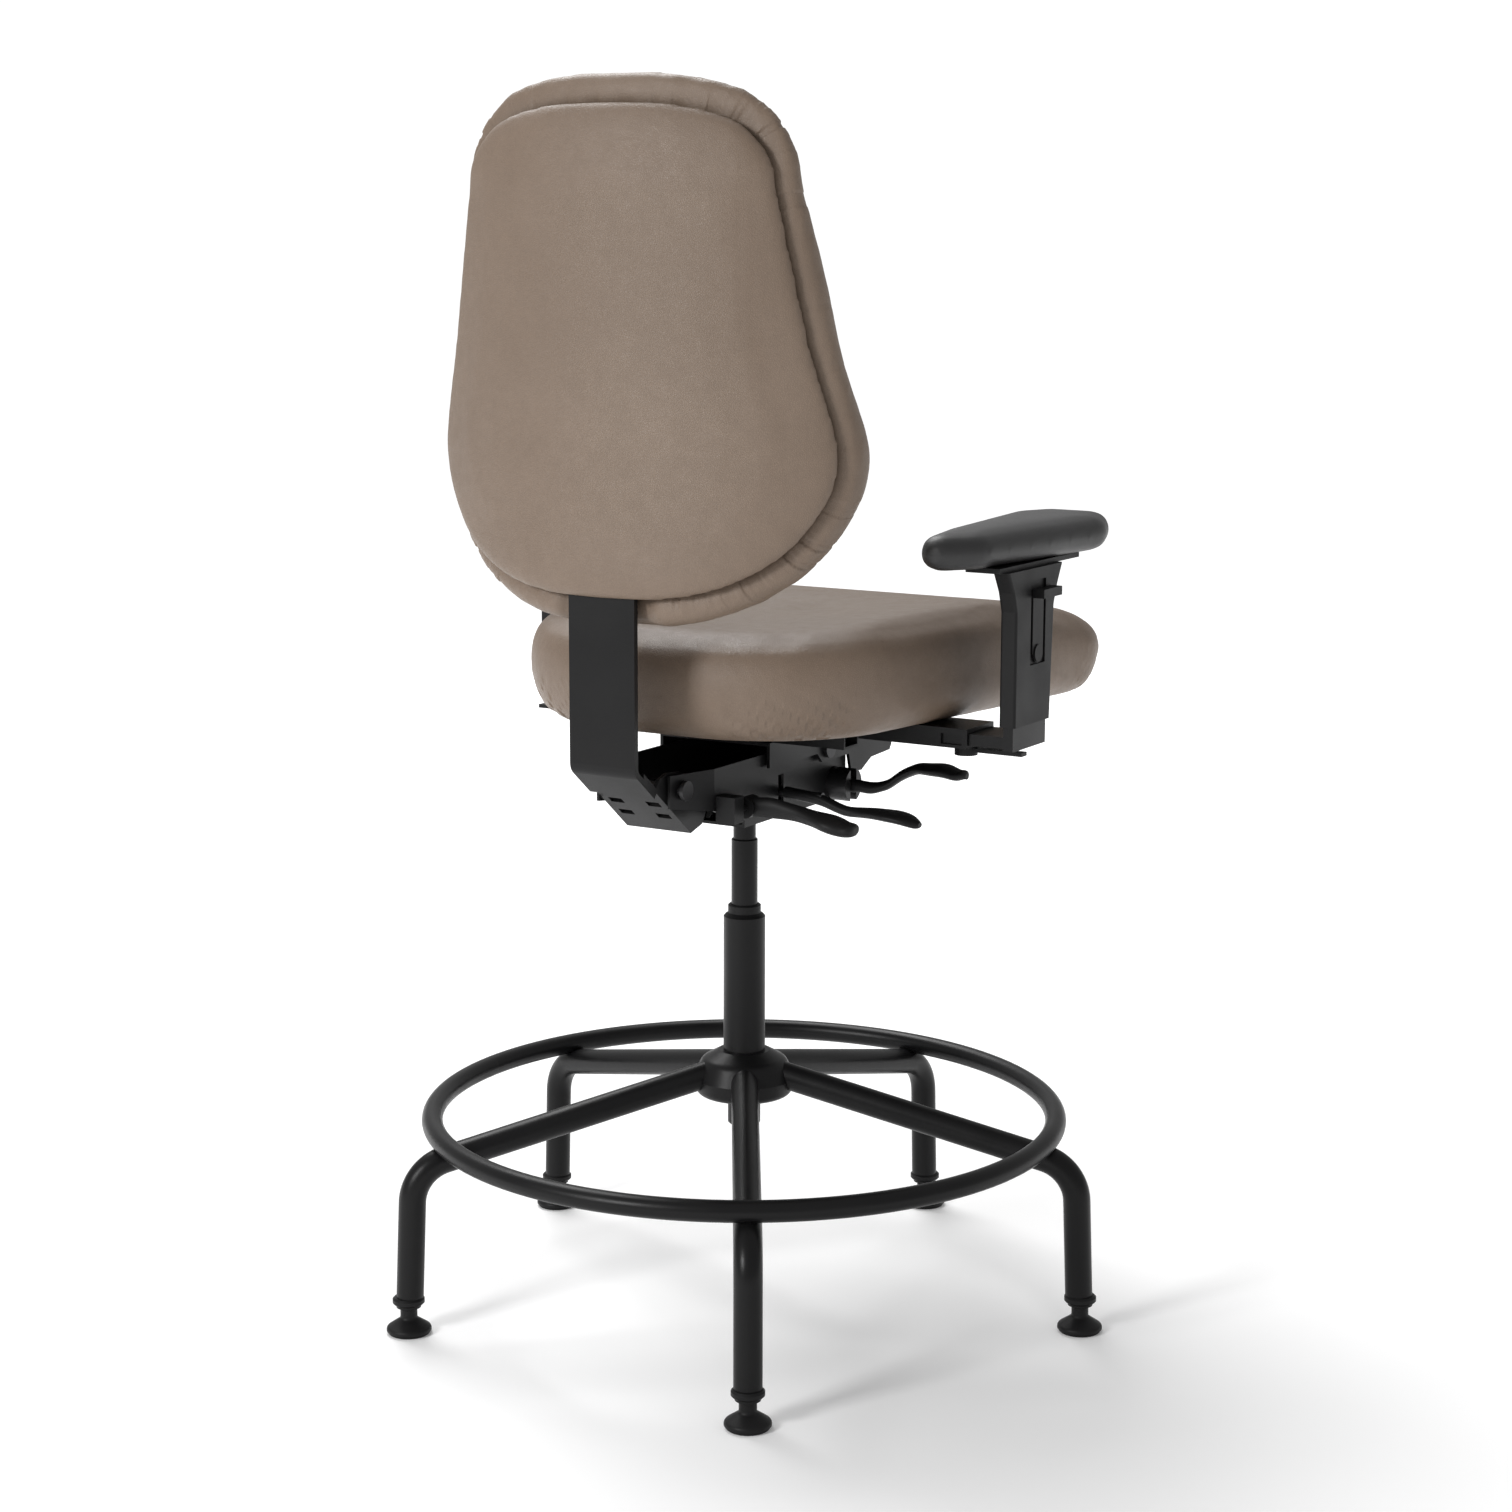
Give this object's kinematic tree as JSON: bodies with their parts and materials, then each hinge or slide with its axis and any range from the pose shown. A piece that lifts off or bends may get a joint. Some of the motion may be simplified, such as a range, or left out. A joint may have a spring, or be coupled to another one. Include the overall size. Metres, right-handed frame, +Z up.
{
  "type": "drafting chair",
  "caption": "Drafting chair with padded leather-look seat and back, height-adjustable arms, gas column, lever mechanism and a fixed leg base with a foot ring.",
  "frame": {"origin": "on the floor, on the column's axis", "axes": "+Z up, the sitter faces -Y, +X is to the sitter's left"},
  "size_m": [0.7487, 0.737, 1.282],
  "materials": {
    "black_paint": "satin powder coat with a fine orange-peel texture",
    "steel": "dark zinc, satin",
    "plastic": "moulded, finely grained",
    "taupe_cover": "satin taupe upholstery with a fine leather grain, over foam",
    "pad_skin": "soft moulded skin over foam",
    "board_wood": "moulded plywood, stained black"
  },
  "bodies": {
    "base": {"foot_ring": "black_paint", "base_hub": "black_paint", "stand_tube": "black_paint", "guide_bush": "plastic", "thrust_bearing": "steel", "leg_1": "black_paint", "leg_2": "black_paint", "leg_3": "black_paint", "leg_4": "black_paint", "leg_5": "black_paint", "foot_socket_1": "plastic", "foot_socket_2": "plastic", "foot_socket_3": "plastic", "foot_socket_4": "plastic", "foot_socket_5": "plastic", "glide_1": "plastic", "glide_2": "plastic", "glide_3": "plastic", "glide_4": "plastic", "glide_5": "plastic"},
    "column_rod": {"piston_rod": "steel"},
    "lift": {"gas_cylinder": "black_paint", "column_socket": "steel", "mechanism_housing": "black_paint", "tilt_axle": "steel", "back_axle": "steel", "clutch_bolt": "steel", "back_lever_block": "plastic", "height_lever_bracket": "steel", "tilt_lever_boss": "steel"},
    "valve": {"valve_pin": "steel"},
    "height_lever": {"height_lever_paddle": "plastic", "height_lever_rod": "steel"},
    "back_lever": {"back_angle_lever": "plastic"},
    "tilt_lever": {"seat_tilt_lever": "plastic"},
    "seat": {"seat_plate": "black_paint", "seat_crossbar_front": "black_paint", "seat_crossbar_rear": "black_paint", "seat_pan": "board_wood", "seat_cushion": "taupe_cover", "arm_channel_right": "black_paint", "arm_channel_left": "black_paint"},
    "back_carrier": {"back_bracket": "black_paint", "back_bar": "black_paint"},
    "back": {"back_board": "board_wood", "back_panel": "taupe_cover", "back_cushion": "taupe_cover", "back_height_guide": "plastic"},
    "arm_slide_right": {"arm_bar_right": "black_paint"},
    "arm_right": {"arm_sleeve_right": "plastic", "arm_pad_base_right": "plastic", "arm_pad_right": "pad_skin"},
    "latch_right": {"arm_latch_right": "plastic"},
    "width_lock_right": {"arm_width_lock_right": "plastic"},
    "arm_slide_left": {"arm_bar_left": "black_paint"},
    "arm_left": {"arm_sleeve_left": "plastic", "arm_pad_base_left": "plastic", "arm_pad_left": "pad_skin"},
    "latch_left": {"arm_latch_left": "plastic"},
    "width_lock_left": {"arm_width_lock_left": "plastic"}
  },
  "joints": [
    {"name": "swivel", "type": "hinge", "parent": "base", "child": "column_rod", "pos_m": [0, 0, 0.3], "axis": [0, 0, 1], "continuous": true},
    {"name": "seat_height", "type": "slide", "parent": "column_rod", "child": "lift", "axis": [0, 0, 1], "range_m": [-0.07, 0.12]},
    {"name": "seat_tilt", "type": "hinge", "parent": "lift", "child": "seat", "pos_m": [0, -0.06, 0.599], "axis": [1, 0, 0], "range_deg": [-2.5, 3.5]},
    {"name": "back_recline", "type": "hinge", "parent": "lift", "child": "back_carrier", "pos_m": [0, 0.2, 0.594], "axis": [-1, 0, 0], "range_deg": [-2, 20]},
    {"name": "back_height", "type": "slide", "parent": "back_carrier", "child": "back", "axis": [0, 0, 1], "range_m": [0, 0.09]},
    {"name": "height_lever_lift", "type": "hinge", "parent": "lift", "child": "height_lever", "pos_m": [-0.04, 0.027, 0.568], "axis": [0, 1, 0], "range_deg": [0, 6], "stiffness_Nm_per_rad": 4},
    {"name": "valve_press", "type": "slide", "parent": "lift", "child": "valve", "axis": [0, 0, 1], "range_m": [-0.0045, 0]},
    {"name": "back_lever_lift", "type": "hinge", "parent": "lift", "child": "back_lever", "pos_m": [-0.076, 0.118, 0.567], "axis": [0, 1, 0], "range_deg": [0, 12]},
    {"name": "tilt_lever_lift", "type": "hinge", "parent": "lift", "child": "tilt_lever", "pos_m": [-0.075, -0.085, 0.557], "axis": [0, 1, 0], "range_deg": [0, 12]},
    {"name": "arm_width_right", "type": "slide", "parent": "seat", "child": "arm_slide_right", "axis": [-1, 0, 0], "range_m": [-0.04, 0.03]},
    {"name": "arm_height_right", "type": "slide", "parent": "arm_slide_right", "child": "arm_right", "axis": [0, 0, 1], "range_m": [0, 0.1]},
    {"name": "arm_latch_right_squeeze", "type": "hinge", "parent": "arm_right", "child": "latch_right", "pos_m": [-0.307, -0.062, 0.719], "axis": [1, 0, 0], "range_deg": [0, 4], "stiffness_Nm_per_rad": 1},
    {"name": "width_lock_right_turn", "type": "hinge", "parent": "seat", "child": "width_lock_right", "pos_m": [-0.246, -0.056, 0.614], "axis": [0, 0, 1], "range_deg": [0, 60]},
    {"name": "arm_width_left", "type": "slide", "parent": "seat", "child": "arm_slide_left", "axis": [1, 0, 0], "range_m": [0, 0.07]},
    {"name": "arm_height_left", "type": "slide", "parent": "arm_slide_left", "child": "arm_left", "axis": [0, 0, 1], "range_m": [0, 0.1]},
    {"name": "arm_latch_left_squeeze", "type": "hinge", "parent": "arm_left", "child": "latch_left", "pos_m": [0.267, -0.062, 0.719], "axis": [1, 0, 0], "range_deg": [0, 4], "stiffness_Nm_per_rad": 1},
    {"name": "width_lock_left_turn", "type": "hinge", "parent": "seat", "child": "width_lock_left", "pos_m": [0.246, -0.056, 0.614], "axis": [0, 0, -1], "range_deg": [0, 60]}
  ],
  "couplings": [
    {"joint": "valve_press", "follows": "height_lever_lift", "m_per_rad": -0.04}
  ]
}
